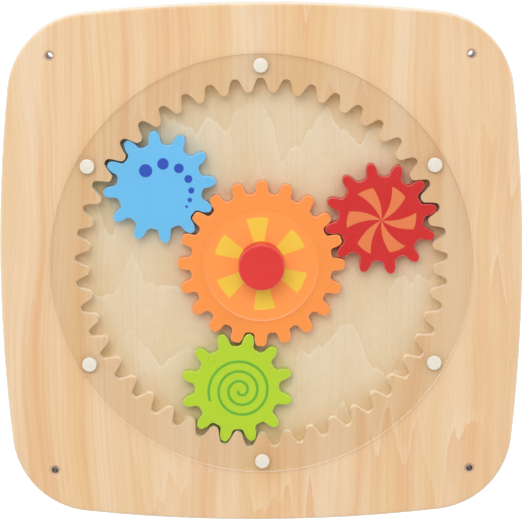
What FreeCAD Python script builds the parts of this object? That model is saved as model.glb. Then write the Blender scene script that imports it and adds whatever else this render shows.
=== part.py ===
import FreeCAD, Part
import cmath
import math
import os

import Sketcher

# Wall activity panel: a square wooden board with a toothed round window.  A knob in the middle
# turns a sun gear, and three loose planet gears roll between it and the toothed window.
#
# Frame: the wall plane is y = 0 and the front faces -Y.  X runs to the right and Z upwards, with
# the origin in the middle of the four wall screws.  "Depth" is the distance out from the wall.

os.makedirs("parts", exist_ok=True)
doc = FreeCAD.newDocument("gear_panel")


# ------------------------------------------------------------------ driving dimensions (mm, degrees)

SIZES = {
    # board
    "board_width": 400.0,
    "side_radius": 1250.0,
    "corner_radius": 64.0,
    "outer_edge_round": 3.0,
    "rear_depth": 12.0,
    "floor_depth": 6.0,
    "front_depth": 12.0,
    "rear_opening_radius": 136.0,
    # wall screws and the screws that hold the board together
    "wall_hole_inset": 40.0,
    "wall_hole_radius": 2.35,
    "wall_sink_radius": 4.6,
    "board_screw_inset": 24.0,
    "board_screw_pitch": 84.0,
    "board_screw_radius": 1.75,
    "board_screw_length": 22.0,
    "board_head_radius": 3.6,
    "board_head_height": 2.4,
    "board_head_inset": 0.6,
    "screw_hole_gap": 0.05,
    "screw_clearance": 0.4,
    "screw_tip_room": 0.6,
    # gearing
    "tooth_module": 6.0,
    "pressure_angle": 20.0,
    "planet_teeth": 12,
    "sun_teeth": 20,
    "planet_shift": 0.33,
    "sun_shift": -0.18,
    "window_shift": 0.4,
    "gear_edge_round": 0.8,
    "window_edge_round": 0.5,
    "gear_thickness": 9.0,
    "gear_lift": 1.0,
    # tooth heights and rounds, in modules
    "planet_addendum": 1.2,
    "planet_dedendum": 0.5167,
    "sun_addendum": 0.6667,
    "sun_dedendum": 1.0,
    "ring_addendum": 0.5667,
    "ring_dedendum": 1.3,
    "planet_tip_round": 0.5333,
    "sun_tip_round": 0.4333,
    "gear_root_round": 0.5333,
    "window_root_round": 0.5,
    "window_tip_round": 0.6,
    # how the gears stand at rest
    "window_turn": 90.0,
    "sun_turn": 8.32,
    "red_near": 20.6,
    "blue_near": 142.4,
    "green_near": 258.7,
    "red_spread": 1.6,
    "blue_spread": 1.7,
    "green_spread": 2.2,
    # loose washers under the planets
    "slip_washer_radius": 12.0,
    "slip_washer_bore": 4.0,
    "slip_pocket_depth": 1.0,
    "slip_side_gap": 0.3,
    "slip_face_gap": 0.2,
    # clear cover and its screws
    "cover_thickness": 3.0,
    "cover_overlap": 8.8,
    "cover_hole_radius": 43.0,
    "cover_edge_round": 0.5,
    "cap_set_back": 9.8,
    "cap_radius": 5.5,
    "cap_side": 1.6,
    "cap_crown": 0.5,
    "cap_edge_round": 0.4,
    "cap_hollow_depth": 1.5,
    "cap_base_radius": 4.2,
    "cap_base_thickness": 0.6,
    "cap_snap_gap": 0.1,
    "cover_screw_radius": 1.5,
    "cover_screw_length": 14.0,
    "cover_head_radius": 2.9,
    "cover_head_height": 0.7,
    # spindle
    "bolt_radius": 3.0,
    "bolt_hole_gap": 0.1,
    "bolt_head_radius": 5.77,
    "bolt_head_height": 4.0,
    "bolt_past_nut": 2.0,
    "washer_radius": 8.0,
    "washer_thickness": 1.2,
    "sleeve_radius": 5.0,
    "sleeve_gap": 0.05,
    "sleeve_proud": 0.3,
    "thrust_washer_radius": 14.0,
    "thrust_washer_gap": 0.1,
    "nut_radius": 5.77,
    "nut_height": 6.0,
    "nut_collar_radius": 4.6,
    "nut_collar_height": 1.6,
    # knob
    "knob_radius": 17.5,
    "knob_height": 20.0,
    "knob_edge_round": 1.2,
    "knob_hollow_radius": 9.5,
    "knob_hollow_room": 1.5,
    "dowel_radius": 2.0,
    "dowel_length": 12.0,
    "dowel_gap": 0.03,
}

sizes = doc.addObject("Spreadsheet::Sheet", "sizes")
for row, (alias, value) in enumerate(SIZES.items(), start=1):
    sizes.set(f"A{row}", alias)
    sizes.set(f"B{row}", str(value))
    sizes.setAlias(f"B{row}", alias)


# ---------------------------------------------------- places that follow from the driving dimensions

PLACES = {
    "half_width": "sizes.board_width / 2",
    "floor_front": "sizes.rear_depth + sizes.floor_depth",
    "panel_front": "floor_front + sizes.front_depth",
    "gear_back": "floor_front + sizes.gear_lift",
    "gear_front": "gear_back + sizes.gear_thickness",
    "cover_front": "panel_front + sizes.cover_thickness",
    "ring_teeth": "sizes.sun_teeth + 2 * sizes.planet_teeth + 1",
    "window_radius": "(ring_teeth / 2 + sizes.ring_dedendum) * sizes.tooth_module",
    "window_inside": "(ring_teeth / 2 - sizes.ring_addendum) * sizes.tooth_module",
    "cap_circle": "window_radius + sizes.cap_set_back",
    "cover_radius": "cap_circle + sizes.cover_overlap",
    "orbit": "(sizes.sun_teeth + sizes.planet_teeth) * sizes.tooth_module / 2",
    "wall_hole": "half_width - sizes.wall_hole_inset",
    "screw_far": "half_width - sizes.board_screw_inset",
    "screw_near": "screw_far - sizes.board_screw_pitch",
    "board_seat": "sizes.board_head_inset + sizes.board_head_height",
    "board_tip": "board_seat + sizes.board_screw_length",
    "cap_seat": "cover_front + sizes.cap_base_thickness",
    "cover_tip": "cap_seat - sizes.cover_screw_length",
    "washer_back": "sizes.rear_depth - sizes.washer_thickness",
    "sleeve_front": "gear_front + sizes.sleeve_proud",
    "nut_back": "sleeve_front + sizes.washer_thickness",
    "nut_front": "nut_back + sizes.nut_height",
    "bolt_front": "nut_front + sizes.bolt_past_nut",
    "knob_hollow": "bolt_front + sizes.knob_hollow_room - gear_front",
    "dowel_offset": "(sizes.knob_radius + sizes.knob_hollow_radius) / 2",
    "slip_back": "floor_front + sizes.slip_face_gap",
    "slip_front": "gear_back + sizes.slip_pocket_depth - sizes.slip_face_gap",
}

places = doc.addObject("Spreadsheet::Sheet", "places")
for row, (alias, formula) in enumerate(PLACES.items(), start=1):
    places.set(f"A{row}", alias)
    places.set(f"B{row}", f"={formula}")
    places.setAlias(f"B{row}", alias)
doc.recompute()


def size(alias):
    """A driving dimension as a number."""
    return float(sizes.get(alias))


def place(alias):
    """A place worked out from the driving dimensions, as a number."""
    return float(places.get(alias))


# ------------------------------------------------------------------------------- drawing helpers

def bind(thing, **formulas):
    """Bind properties of a document object to cells of the two sheets."""
    for name, formula in formulas.items():
        thing.setExpression(name.replace("__", "."), formula)


def new_body(label):
    body = doc.addObject("PartDesign::Body", label)
    body.Label = label
    return body


def new_sketch(body, name, depth, role="XZ_Plane"):
    """A sketch on one of the body's own planes, moved out from the wall by the depth formula."""
    sketch = body.newObject("Sketcher::SketchObject", name)
    plane = [item for item in body.Origin.OriginFeatures if item.Role == role][0]
    sketch.AttachmentSupport = (plane, [""])
    sketch.MapMode = "FlatFace"
    sketch.setExpression("AttachmentOffset.Base.z", depth)
    return sketch


def drive(sketch, constraint, formula):
    """Add one dimension to a sketch and bind it to a formula."""
    index = sketch.addConstraint(constraint)
    sketch.renameConstraint(index, f"dim_{index}")
    sketch.setExpression(f"Constraints.dim_{index}", formula)


def add_circle(sketch, radius, across=None, up=None):
    """A circle bound to formulas; its centre stays on an axis where it is given no distance."""
    circle = sketch.addGeometry(Part.Circle(FreeCAD.Vector(1, 1, 0), FreeCAD.Vector(0, 0, 1), 1.0))
    for formula, kind, axis in ((across, "DistanceX", -2), (up, "DistanceY", -1)):
        if formula is None:
            sketch.addConstraint(Sketcher.Constraint("PointOnObject", circle, 3, axis))
        else:
            drive(sketch, Sketcher.Constraint(kind, circle, 3, 1.0), formula)
    drive(sketch, Sketcher.Constraint("Radius", circle, 1.0), radius)


def add_pad(body, sketch, length):
    pad = body.newObject("PartDesign::Pad", f"{sketch.Name}_pad")
    pad.Profile = sketch
    bind(pad, Length=length)
    doc.recompute()
    return pad


def add_pocket(body, sketch, length=None, outwards=False, taper=0.0):
    """Cut from the sketch towards the wall or outwards, or right through where no length is given."""
    before = body.Shape.Volume
    pocket = body.newObject("PartDesign::Pocket", f"{sketch.Name}_pocket")
    pocket.Profile = sketch
    pocket.Reversed = outwards
    pocket.TaperAngle = taper
    if length is None:
        pocket.Type = "ThroughAll"
        pocket.Midplane = True
    else:
        bind(pocket, Length=length)
    doc.recompute()
    if body.Shape.Volume >= before:
        raise RuntimeError(f"{sketch.Name} cuts nothing")
    return pocket


def round_edges(body, radius, wanted):
    """Fillet the edges of the body's last feature that the test picks out."""
    base = body.Tip
    names = [f"Edge{i}" for i, edge in enumerate(base.Shape.Edges, start=1) if wanted(edge)]
    fillet = body.newObject("PartDesign::Fillet", f"{body.Name}_round")
    fillet.Base = (base, names)
    bind(fillet, Radius=radius)
    doc.recompute()
    return fillet


SAME_PLACE = 1e-4


def at_depth(edge, depth):
    """True where the whole edge lies in the plane at this depth."""
    box = edge.BoundBox
    return abs(box.YMin + depth) < SAME_PLACE and abs(box.YMax + depth) < SAME_PLACE


def turned_body(label, name, corners):
    """A lathe-turned body about the Y axis from (radius, depth) corners given as formulas."""
    body = new_body(label)
    sketch = new_sketch(body, name, "0", "XY_Plane")
    count = len(corners)
    # a regular polygon beside the axis to start with; the dimensions then pull it into shape
    ring = [FreeCAD.Vector(math.cos(2 * math.pi * k / count) + 2, math.sin(2 * math.pi * k / count), 0)
            for k in range(count)]
    for k in range(count):
        sketch.addGeometry(Part.LineSegment(ring[k], ring[(k + 1) % count]))
    for k in range(count):
        sketch.addConstraint(Sketcher.Constraint("Coincident", k, 2, (k + 1) % count, 1))
    for k, (radius, depth) in enumerate(corners):
        if radius == "0":
            sketch.addConstraint(Sketcher.Constraint("PointOnObject", k, 1, -2))
        else:
            drive(sketch, Sketcher.Constraint("DistanceX", k, 1, 1.0), radius)
        drive(sketch, Sketcher.Constraint("DistanceY", k, 1, 1.0), f"-({depth})")
    revolution = body.newObject("PartDesign::Revolution", f"{name}_turn")
    revolution.Profile = sketch
    revolution.ReferenceAxis = (sketch, ["V_Axis"])
    revolution.Angle = 360.0
    doc.recompute()
    return body


def solid(kind, name, **formulas):
    """A Part primitive with its sizes bound to formulas."""
    thing = doc.addObject(f"Part::{kind}", name)
    bind(thing, **formulas)
    return thing


def rod(name, radius, back, front):
    """A cylinder along the depth direction, between two depths."""
    thing = solid("Cylinder", name, Radius=radius, Height=f"({front}) - ({back})")
    thing.Placement = FreeCAD.Placement(FreeCAD.Vector(), FreeCAD.Vector(1, 0, 0), 90)
    bind(thing, Placement__Base__y=f"-({back})")
    return thing


def hexagon(name, radius, back, front):
    """A six-sided bar along the depth direction, between two depths."""
    thing = solid("Prism", name, Circumradius=radius, Height=f"({front}) - ({back})")
    thing.Polygon = 6
    thing.Placement = FreeCAD.Placement(FreeCAD.Vector(), FreeCAD.Vector(1, 0, 0), 90)
    bind(thing, Placement__Base__y=f"-({back})")
    return thing


def cut(label, base, tool):
    thing = doc.addObject("Part::Cut", label)
    thing.Label = label
    thing.Base = base
    thing.Tool = tool
    return thing


def fuse(label, *pieces):
    thing = doc.addObject("Part::MultiFuse", label)
    thing.Label = label
    thing.Shapes = list(pieces)
    thing.Refine = True
    return thing


def tube(label, outer, inner, back, front):
    """A washer or sleeve along the depth direction."""
    outside = rod(f"{label}_outside", outer, back, front)
    return cut(label, outside, rod(f"{label}_bore", inner, back, front))


def move_to(thing, spot, turn=0.0):
    """Stand a finished piece at a spot of the board's face, turned about the depth direction."""
    base = FreeCAD.Vector(spot.real, 0, spot.imag)
    thing.Placement = FreeCAD.Placement(base, FreeCAD.Vector(0, -1, 0), turn)


finished = []


def finish(thing):
    """Mark a document object as a sub-part that gets its own file."""
    finished.append(thing)
    return thing


# ------------------------------------------------------------------------------ tooth outlines

def unroll(length, base):
    """Polar angle gained by a taut string of this length coming off a base circle."""
    return length / base - math.atan(length / base)


def vector(spot):
    """A point of the board's face, given as a complex number, in the model's frame."""
    return FreeCAD.Vector(spot.real, 0, spot.imag)


def arc_about(centre, first, last):
    """The shorter arc from first to last about a centre."""
    middle = (first - centre) + (last - centre)
    middle = centre + middle / abs(middle) * abs(first - centre)
    return Part.Arc(vector(first), vector(middle), vector(last)).toShape()


def modules(alias):
    """A tooth size, given in modules, as a length."""
    return size(alias) * size("tooth_module")


def gear_outline(teeth, shift, tip, root, tip_round, root_round):
    """Closed wire of involute teeth with rounded tips and roots; the first tooth is on the X axis."""
    pressure = math.radians(size("pressure_angle"))
    base = teeth * size("tooth_module") / 2 * math.cos(pressure)
    half = (math.pi / 2 + 2 * shift * math.tan(pressure)) / teeth
    half += unroll(base * math.tan(pressure), base)
    pitch = 2 * math.pi / teeth

    def flank(length):
        return cmath.rect(math.hypot(base, length), half - unroll(length, base))

    # the centres of the rounds lie on involutes set off from the flank by the rounds' radii
    tip_length = math.sqrt((tip - tip_round) ** 2 - base ** 2)
    tip_angle = half - tip_round / base - unroll(tip_length, base)
    root_length = math.sqrt((root + root_round) ** 2 - base ** 2)
    root_angle = half + root_round / base - unroll(root_length, base)
    flank_top = tip_length + tip_round
    flank_foot = root_length - root_round
    flank_steps = 6
    points = [flank(flank_top + (flank_foot - flank_top) * k / flank_steps) for k in range(flank_steps + 1)]

    edges = []
    for k in range(teeth):
        turn = cmath.rect(1, k * pitch)
        for mirrored in (True, False):
            def put(spot):
                return turn * (spot.conjugate() if mirrored else spot)

            tip_arc = arc_about(put(cmath.rect(tip - tip_round, tip_angle)),
                                put(cmath.rect(tip, tip_angle)), put(points[0]))
            curve = Part.BSplineCurve()
            curve.interpolate([vector(put(spot)) for spot in points])
            root_arc = arc_about(put(cmath.rect(root + root_round, root_angle)),
                                 put(points[-1]), put(cmath.rect(root, root_angle)))
            side = [tip_arc, curve.toShape(), root_arc]
            if mirrored:
                edges += side[::-1]
                edges.append(arc_about(0, put(cmath.rect(tip, tip_angle)),
                                       put(cmath.rect(tip, -tip_angle))))
            else:
                edges += side
        edges.append(arc_about(0, turn * cmath.rect(root, root_angle),
                               turn * cmath.rect(root, pitch - root_angle)))
    return Part.Wire(edges)


def toothed_plate(name, outline, turn, back, thickness):
    """A plate with the given toothed outline, standing at a depth and turned by an angle."""
    face = doc.addObject("Part::Feature", f"{name}_outline")
    face.Shape = Part.Face(outline)
    face.Placement = FreeCAD.Placement(FreeCAD.Vector(0, -back, 0), FreeCAD.Vector(0, -1, 0), turn)
    plate = doc.addObject("Part::Extrusion", f"{name}_plate")
    plate.Base = face
    plate.DirMode = "Custom"
    plate.Dir = FreeCAD.Vector(0, -1, 0)
    plate.Solid = True
    bind(plate, LengthFwd=thickness)
    doc.recompute()
    return plate


def ease_front(plate, radius, front):
    """Round the edge of a plate or a cap that lies at this depth."""
    eased = doc.addObject("Part::Fillet", f"{plate.Name}_eased")
    eased.Base = plate
    eased.Edges = [(i, radius, radius) for i, edge in enumerate(plate.Shape.Edges, start=1)
                   if at_depth(edge, front)]
    doc.recompute()
    return eased


# --------------------------------------------------------------------------- how the gears mesh

RING_TEETH = int(round(place("ring_teeth")))
SUN_TEETH = int(round(size("sun_teeth")))
PLANET_TEETH = int(round(size("planet_teeth")))


def planet_angle(near):
    """The direction closest to the wanted one in which a planet meshes with sun and window."""
    step = 360.0 / (RING_TEETH + SUN_TEETH)
    start = (RING_TEETH * size("window_turn") + SUN_TEETH * size("sun_turn")) / (RING_TEETH + SUN_TEETH)
    return start + step * round((near - start) / step)


def planet_turn(angle):
    """How far a planet is turned when one of its teeth fills a space of the window."""
    return angle - RING_TEETH / PLANET_TEETH * (angle - size("window_turn"))


# ------------------------------------------------------------------------------------- the board

def board_outline(body, name, depth):
    """Four long side arcs and four corner arcs, tangent all round."""
    sketch = new_sketch(body, name, depth)
    side, corner, half = size("side_radius"), size("corner_radius"), place("half_width")
    shift = side - half
    # the corner's centre is equally far from two side arcs and lies on the diagonal
    centre = (-shift + math.sqrt(2 * (side - corner) ** 2 - shift ** 2)) / 2
    sweep = math.atan2(centre, centre + shift)
    up = FreeCAD.Vector(0, 0, 1)
    for k in range(4):
        quarter = math.pi / 2 * k
        side_centre = cmath.rect(-shift, quarter)
        side_circle = Part.Circle(FreeCAD.Vector(side_centre.real, side_centre.imag, 0), up, side)
        sketch.addGeometry(Part.ArcOfCircle(side_circle, quarter - sweep, quarter + sweep))
        spot = cmath.rect(centre * math.sqrt(2), quarter + math.pi / 4)
        corner_circle = Part.Circle(FreeCAD.Vector(spot.real, spot.imag, 0), up, corner)
        sketch.addGeometry(Part.ArcOfCircle(corner_circle, quarter + sweep, quarter + math.pi / 2 - sweep))
    for k in range(8):
        sketch.addConstraint(Sketcher.Constraint("Tangent", k, 2, (k + 1) % 8, 1))
    for first, radius in ((0, "sizes.side_radius"), (1, "sizes.corner_radius")):
        for k in range(first + 2, 8, 2):
            sketch.addConstraint(Sketcher.Constraint("Equal", first, k))
        drive(sketch, Sketcher.Constraint("Radius", first, (side, corner)[first]), radius)
    for k, (across, sign) in enumerate((("X", -1), ("Y", -1), ("X", 1), ("Y", 1))):
        sketch.addConstraint(Sketcher.Constraint("PointOnObject", 2 * k, 3, -1 if across == "X" else -2))
        drive(sketch, Sketcher.Constraint(f"Distance{across}", 2 * k, 3, sign * shift),
              f"{sign} * (sizes.side_radius - places.half_width)")
    return sketch


CORNERS = [(1, 1), (-1, 1), (-1, -1), (1, -1)]


def corner_holes(body, name, depth, radius):
    """The four wall-screw holes, or the mouths of their countersinks, as one sketch."""
    sketch = new_sketch(body, name, depth)
    for across, up in CORNERS:
        add_circle(sketch, radius, f"{across} * places.wall_hole", f"{up} * places.wall_hole")
    return sketch


BOARD_SCREWS = [(across, up, flip) for across, up in CORNERS for flip in (False, True)]


def board_screw_spot(across, up, flip):
    """Where one of the screws that hold the board together stands, as two formulas."""
    pair = ["places.screw_far", "places.screw_near"]
    if flip:
        pair.reverse()
    return f"{across} * {pair[0]}", f"{up} * {pair[1]}"


def board_screw_holes(body, name, depth, radius):
    sketch = new_sketch(body, name, depth)
    for spot in BOARD_SCREWS:
        add_circle(sketch, radius, *board_screw_spot(*spot))
    return sketch


CAPS = 6
SINK_TAPER = -45.0
CLEARANCE_HOLE = "sizes.board_screw_radius + sizes.screw_clearance"
PILOT_HOLE = "sizes.board_screw_radius + sizes.screw_hole_gap"

# rear frame: stands the floor off the wall and leaves room for the bolt head
rear = new_body("rear_frame")
add_pad(rear, board_outline(rear, "rear_outline", "0"), "sizes.rear_depth")
opening = new_sketch(rear, "rear_opening", "0")
add_circle(opening, "sizes.rear_opening_radius")
add_pocket(rear, opening)
add_pocket(rear, corner_holes(rear, "rear_wall_holes", "0", "sizes.wall_hole_radius"))
add_pocket(rear, board_screw_holes(rear, "rear_screw_holes", "0", CLEARANCE_HOLE))
sink = board_screw_holes(rear, "rear_screw_sinks", "0", "sizes.board_head_radius + sizes.screw_clearance")
add_pocket(rear, sink, "places.board_seat", outwards=True)
round_edges(rear, "sizes.outer_edge_round",
            lambda edge: at_depth(edge, 0) and edge.BoundBox.DiagonalLength > size("corner_radius"))
finish(rear)

# floor: the pale panel behind the gears
floor = new_body("floor_panel")
add_pad(floor, board_outline(floor, "floor_outline", "sizes.rear_depth"), "sizes.floor_depth")
add_pocket(floor, corner_holes(floor, "floor_wall_holes", "sizes.rear_depth", "sizes.wall_hole_radius"))
add_pocket(floor, board_screw_holes(floor, "floor_screw_holes", "sizes.rear_depth", CLEARANCE_HOLE))
bolt_hole = new_sketch(floor, "floor_bolt_hole", "sizes.rear_depth")
add_circle(bolt_hole, "sizes.bolt_radius + sizes.bolt_hole_gap")
add_pocket(floor, bolt_hole)
finish(floor)

# front panel: the face board with the toothed window
blank = new_body("front_blank")
add_pad(blank, board_outline(blank, "front_outline", "places.floor_front"), "sizes.front_depth")
round_edges(blank, "sizes.outer_edge_round", lambda edge: at_depth(edge, place("panel_front")))
add_pocket(blank, corner_holes(blank, "front_wall_holes", "places.floor_front", "sizes.wall_hole_radius"))
add_pocket(blank, corner_holes(blank, "front_wall_sinks", "places.panel_front", "sizes.wall_sink_radius"),
           "sizes.wall_sink_radius - sizes.wall_hole_radius", taper=SINK_TAPER)
pilots = board_screw_holes(blank, "front_screw_holes", "places.floor_front", PILOT_HOLE)
add_pocket(blank, pilots, "places.board_tip + sizes.screw_tip_room - places.floor_front", outwards=True)
cap_pilot = new_sketch(blank, "cap_pilot", "places.panel_front")
add_circle(cap_pilot, "sizes.cover_screw_radius + sizes.screw_hole_gap", up="places.cap_circle")
cap_pocket = add_pocket(blank, cap_pilot, "places.panel_front - places.cover_tip + sizes.screw_tip_room")
cap_ring = blank.newObject("PartDesign::PolarPattern", "cap_pilots")
cap_ring.Originals = [cap_pocket]
cap_ring.Axis = ([item for item in blank.Origin.OriginFeatures if item.Role == "Y_Axis"][0], [""])
cap_ring.Angle = 360.0
cap_ring.Occurrences = CAPS
blank.Tip = cap_ring
doc.recompute()

window = toothed_plate("window",
                       gear_outline(RING_TEETH, size("window_shift"),
                                    place("window_radius"), place("window_inside"),
                                    modules("window_root_round"), modules("window_tip_round")),
                       size("window_turn"), place("floor_front"), "sizes.front_depth")
toothed = cut("toothed_blank", blank, window)
doc.recompute()
front = doc.addObject("Part::Fillet", "front_panel")
front.Label = "front_panel"
front.Base = toothed
inside_caps = place("cap_circle") - size("cap_radius")
front.Edges = [(i, size("window_edge_round"), size("window_edge_round"))
               for i, edge in enumerate(toothed.Shape.Edges, start=1)
               if at_depth(edge, place("panel_front"))
               and max(math.hypot(v.X, v.Z) for v in edge.Vertexes) < inside_caps]
finish(front)

for number, spot in enumerate(BOARD_SCREWS, start=1):
    across, up = board_screw_spot(*spot)
    head = rod(f"board_head_{number}", "sizes.board_head_radius",
               "sizes.board_head_inset", "places.board_seat")
    shank = rod(f"board_shank_{number}", "sizes.board_screw_radius",
                "sizes.board_head_inset", "places.board_tip")
    screw = fuse(f"board_screw_{number}", head, shank)
    bind(screw, Placement__Base__x=across, Placement__Base__z=up)
    finish(screw)


# ------------------------------------------------------------------- the clear cover and its screws

cover = new_body("cover_disc")
disc = new_sketch(cover, "cover_circle", "places.panel_front")
add_circle(disc, "places.cover_radius")
add_pad(cover, disc, "sizes.cover_thickness")
hand_hole = new_sketch(cover, "hand_hole", "places.panel_front")
add_circle(hand_hole, "sizes.cover_hole_radius")
add_pocket(cover, hand_hole)
round_edges(cover, "sizes.cover_edge_round", lambda edge: at_depth(edge, place("cover_front")))
screw_hole = new_sketch(cover, "cover_screw_hole", "places.panel_front")
add_circle(screw_hole, "sizes.cover_screw_radius + sizes.screw_clearance", up="places.cap_circle")
first_hole = add_pocket(cover, screw_hole)
hole_ring = cover.newObject("PartDesign::PolarPattern", "cover_screw_holes")
hole_ring.Originals = [first_hole]
hole_ring.Axis = ([item for item in cover.Origin.OriginFeatures if item.Role == "Y_Axis"][0], [""])
hole_ring.Angle = 360.0
hole_ring.Occurrences = CAPS
cover.Tip = hole_ring
finish(cover)

for number in range(1, CAPS + 1):
    spot = cmath.rect(place("cap_circle"), math.pi / 2 + 2 * math.pi * (number - 1) / CAPS)
    cap_front = "places.cover_front + sizes.cap_side + sizes.cap_crown"
    crown_radius = "(sizes.cap_radius ^ 2 + sizes.cap_crown ^ 2) / (2 * sizes.cap_crown)"
    barrel = rod(f"cap_barrel_{number}", "sizes.cap_radius", "places.cover_front", cap_front)
    crown = solid("Sphere", f"cap_crown_{number}", Radius=crown_radius,
                  Placement__Base__y=f"{crown_radius} - ({cap_front})")
    dome = doc.addObject("Part::MultiCommon", f"cap_dome_{number}")
    dome.Shapes = [barrel, crown]
    doc.recompute()
    dome = ease_front(dome, size("cap_edge_round"), place("cover_front") + size("cap_side"))
    hollow = rod(f"cap_hollow_{number}", "sizes.cap_base_radius + sizes.cap_snap_gap",
                 "places.cover_front", "places.cover_front + sizes.cap_hollow_depth")
    cap = cut(f"cover_cap_{number}", dome, hollow)
    base = tube(f"cap_base_{number}", "sizes.cap_base_radius",
                "sizes.cover_screw_radius + sizes.screw_clearance", "places.cover_front", "places.cap_seat")
    head = rod(f"cover_head_{number}", "sizes.cover_head_radius", "places.cap_seat",
               "places.cap_seat + sizes.cover_head_height")
    shank = rod(f"cover_shank_{number}", "sizes.cover_screw_radius", "places.cover_tip", "places.cap_seat")
    screw = fuse(f"cover_screw_{number}", head, shank)
    for piece in (cap, base, screw):
        move_to(piece, spot)
        finish(piece)


# ------------------------------------------------------------------------------------ the spindle

BOLT_CLEAR = "sizes.bolt_radius + sizes.bolt_hole_gap"

bolt_head = hexagon("bolt_head", "sizes.bolt_head_radius",
                    "places.washer_back - sizes.bolt_head_height", "places.washer_back")
bolt_shank = rod("bolt_shank", "sizes.bolt_radius",
                 "places.washer_back - sizes.bolt_head_height / 2", "places.bolt_front")
finish(fuse("spindle_bolt", bolt_head, bolt_shank))
finish(tube("rear_washer", "sizes.washer_radius", BOLT_CLEAR, "places.washer_back", "sizes.rear_depth"))
finish(tube("spindle_sleeve", "sizes.sleeve_radius", BOLT_CLEAR,
            "places.floor_front", "places.sleeve_front"))
finish(tube("thrust_washer", "sizes.thrust_washer_radius", "sizes.sleeve_radius + sizes.sleeve_gap",
            "places.floor_front", "places.gear_back - sizes.thrust_washer_gap"))
finish(tube("front_washer", "sizes.washer_radius", BOLT_CLEAR, "places.sleeve_front", "places.nut_back"))
nut_flats = hexagon("nut_flats", "sizes.nut_radius", "places.nut_back",
                    "places.nut_front - sizes.nut_collar_height")
nut_collar = rod("nut_collar", "sizes.nut_collar_radius", "places.nut_back", "places.nut_front")
nut_bore = rod("nut_bore", "sizes.bolt_radius + sizes.screw_hole_gap",
               "places.nut_back", "places.nut_front")
finish(cut("lock_nut", fuse("nut_blank", nut_flats, nut_collar), nut_bore))


# ------------------------------------------------------------------------- sun gear, knob, dowels

DOWEL_SIDES = (1, -1)


def dowel_holes(name, back, front):
    """The two dowel holes as cylinders."""
    holes = []
    for number, side in enumerate(DOWEL_SIDES, start=1):
        hole = rod(f"{name}_{number}", "sizes.dowel_radius + sizes.dowel_gap", back, front)
        bind(hole, Placement__Base__x=f"{side} * places.dowel_offset")
        holes.append(hole)
    return holes


sun_pitch = SUN_TEETH * size("tooth_module") / 2
sun_outline = gear_outline(SUN_TEETH, size("sun_shift"),
                           sun_pitch + modules("sun_addendum"), sun_pitch - modules("sun_dedendum"),
                           modules("sun_tip_round"), modules("gear_root_round"))
sun_tooth_turn = size("sun_turn") - 180.0 / SUN_TEETH
sun = toothed_plate("sun", sun_outline, sun_tooth_turn, place("gear_back"), "sizes.gear_thickness")
sun_bore = rod("sun_bore", "sizes.sleeve_radius + sizes.sleeve_gap",
               "places.gear_back", "places.gear_front")
sun_holes = dowel_holes("sun_dowel_hole",
                        "places.gear_front - sizes.dowel_length / 2 - sizes.screw_tip_room",
                        "places.gear_front")
finish(cut("drive_gear", ease_front(sun, size("gear_edge_round"), place("gear_front")),
           fuse("sun_tools", sun_bore, *sun_holes)))

KNOB_FRONT = "places.gear_front + sizes.knob_height"
KNOB_HOLLOW = "places.gear_front + places.knob_hollow"
knob = turned_body("knob_blank", "knob_section",
                   [("sizes.knob_hollow_radius", "places.gear_front"),
                    ("sizes.knob_radius", "places.gear_front"),
                    ("sizes.knob_radius", KNOB_FRONT),
                    ("0", KNOB_FRONT),
                    ("0", KNOB_HOLLOW),
                    ("sizes.knob_hollow_radius", KNOB_HOLLOW)])
round_edges(knob, "sizes.knob_edge_round",
            lambda edge: at_depth(edge, place("gear_front") + size("knob_height")))
knob_holes = dowel_holes("knob_dowel_hole", "places.gear_front",
                         "places.gear_front + sizes.dowel_length / 2 + sizes.screw_tip_room")
finish(cut("turning_knob", knob, fuse("knob_tools", *knob_holes)))

for number, side in enumerate(DOWEL_SIDES, start=1):
    dowel = rod(f"knob_dowel_{number}", "sizes.dowel_radius", "places.gear_front - sizes.dowel_length / 2",
                "places.gear_front + sizes.dowel_length / 2")
    bind(dowel, Placement__Base__x=f"{side} * places.dowel_offset")
    finish(dowel)


# ----------------------------------------------------------------------------- the planet gears

planet_pitch = PLANET_TEETH * size("tooth_module") / 2
planet_outline = gear_outline(PLANET_TEETH, size("planet_shift"),
                              planet_pitch + modules("planet_addendum"),
                              planet_pitch - modules("planet_dedendum"),
                              modules("planet_tip_round"), modules("gear_root_round"))
for colour in ("red", "blue", "green"):
    angle = planet_angle(size(f"{colour}_near"))
    spot = cmath.rect(place("orbit") + size(f"{colour}_spread"), math.radians(angle))
    plate = toothed_plate(f"{colour}_planet", planet_outline, 0.0,
                          place("gear_back"), "sizes.gear_thickness")
    pocket = rod(f"{colour}_pocket", "sizes.slip_washer_radius + sizes.slip_side_gap",
                 "places.gear_back", "places.gear_back + sizes.slip_pocket_depth")
    gear = cut(f"{colour}_gear", ease_front(plate, size("gear_edge_round"), place("gear_front")), pocket)
    move_to(gear, spot, planet_turn(angle))
    washer = tube(f"{colour}_slip_washer", "sizes.slip_washer_radius", "sizes.slip_washer_bore",
                  "places.slip_back", "places.slip_front")
    move_to(washer, spot)
    finish(gear)
    finish(washer)


# ------------------------------------------------------------------------------ check and write

doc.recompute()
for thing in doc.Objects:
    if "Invalid" in thing.State or "Error" in thing.State:
        raise RuntimeError(f"{thing.Name} failed: {thing.State}")
for thing in finished:
    if thing.Shape.isNull() or not thing.Shape.isValid() or not thing.Shape.Solids:
        raise RuntimeError(f"{thing.Label} has no valid solid")
    thing.Shape.exportStep(os.path.join("parts", f"{thing.Label}.step"))
    box = thing.Shape.BoundBox
    print(f"{thing.Label}: {len(thing.Shape.Solids)} solid, {thing.Shape.Volume / 1000:.2f} cm3, "
          f"{box.XLength:.1f} x {box.YLength:.1f} x {box.ZLength:.1f} mm")
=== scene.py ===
import cmath
import math

import bmesh
import bpy
from mathutils import Matrix, Vector


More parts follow.
